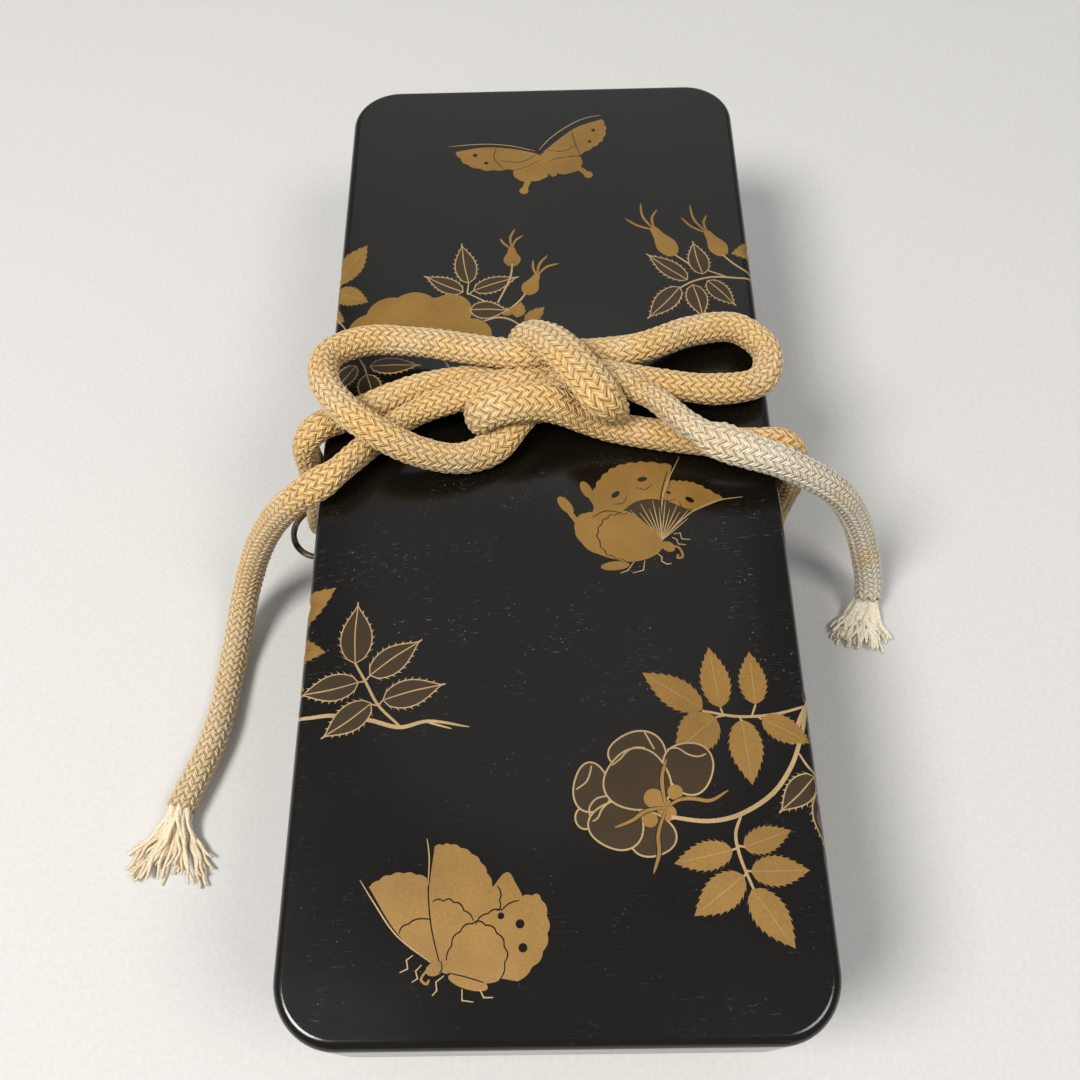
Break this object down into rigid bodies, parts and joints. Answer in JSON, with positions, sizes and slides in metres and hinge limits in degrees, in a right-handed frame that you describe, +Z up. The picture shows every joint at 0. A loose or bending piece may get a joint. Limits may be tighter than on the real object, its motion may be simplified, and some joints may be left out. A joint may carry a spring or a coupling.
{
  "type": "lacquer document box",
  "caption": "Long black lacquered box with rounded corners, hollow for letters, its deep overhanging lid gold-patterned and tied shut by braided cords in a bow.",
  "frame": {"origin": "on the underside, in the middle of the box", "axes": "+X to the right across the width, +Y along the length away from the viewer, +Z up"},
  "size_m": [0.1827, 0.235, 0.0753],
  "materials": {
    "lacquer": "black lacquer, polished, with fine dust and hairline scratches",
    "lid_lacquer": "black lacquer with a flush satin gold pattern of butterflies and roses",
    "fitting": "dull aged bronze",
    "cord": "braided straw-coloured silk, faded in places, with frayed ends"
  },
  "bodies": {
    "root": {"box_body": "lacquer", "lid": "lid_lacquer", "ring_eye_left": "fitting", "ring_eye_right": "fitting", "ring_left": "fitting", "ring_right": "fitting", "cord_left": "cord", "cord_right": "cord"}
  },
  "joints": []
}
